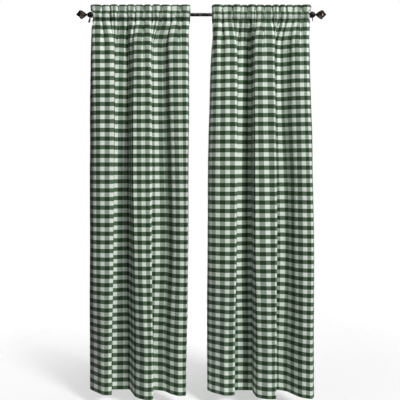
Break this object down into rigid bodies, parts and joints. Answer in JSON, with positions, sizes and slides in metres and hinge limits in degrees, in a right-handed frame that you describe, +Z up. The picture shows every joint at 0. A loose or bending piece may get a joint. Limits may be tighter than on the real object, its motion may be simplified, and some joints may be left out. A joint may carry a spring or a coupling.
{
  "type": "pair of curtains with curtain rod",
  "caption": "Gathered rod-pocket curtains in a woven green check, hung on a slim dark rod with faceted finials and wall brackets.",
  "frame": {"origin": "on the wall, midway between the finial tips and level with the rod's axis", "axes": "+X along the rod to the viewer's right, +Y into the wall, +Z up; the room is on the -Y side"},
  "size_m": [1.376, 0.1987, 2.1344],
  "materials": {
    "check_cloth": "plain woven cotton blend, matt, dark green and white check",
    "rod_metal": "smooth near-black bronze lacquer, semi-gloss",
    "finial_metal": "dark bronze, red-brown where the edges are rubbed, glossy",
    "fitting_metal": "near-black bronze lacquer, semi-gloss"
  },
  "bodies": {
    "root": {"panel_left": "check_cloth", "panel_right": "check_cloth", "rod": "rod_metal", "socket_left": "fitting_metal", "socket_right": "fitting_metal", "bead_left": "finial_metal", "bead_right": "finial_metal", "finial_left": "finial_metal", "finial_right": "finial_metal", "arm_left": "fitting_metal", "arm_right": "fitting_metal", "plate_left": "fitting_metal", "plate_right": "fitting_metal", "screw_left_upper": "fitting_metal", "screw_left_lower": "fitting_metal", "screw_right_upper": "fitting_metal", "screw_right_lower": "fitting_metal", "thumbscrew_left": "fitting_metal", "thumbscrew_right": "fitting_metal"}
  },
  "joints": []
}
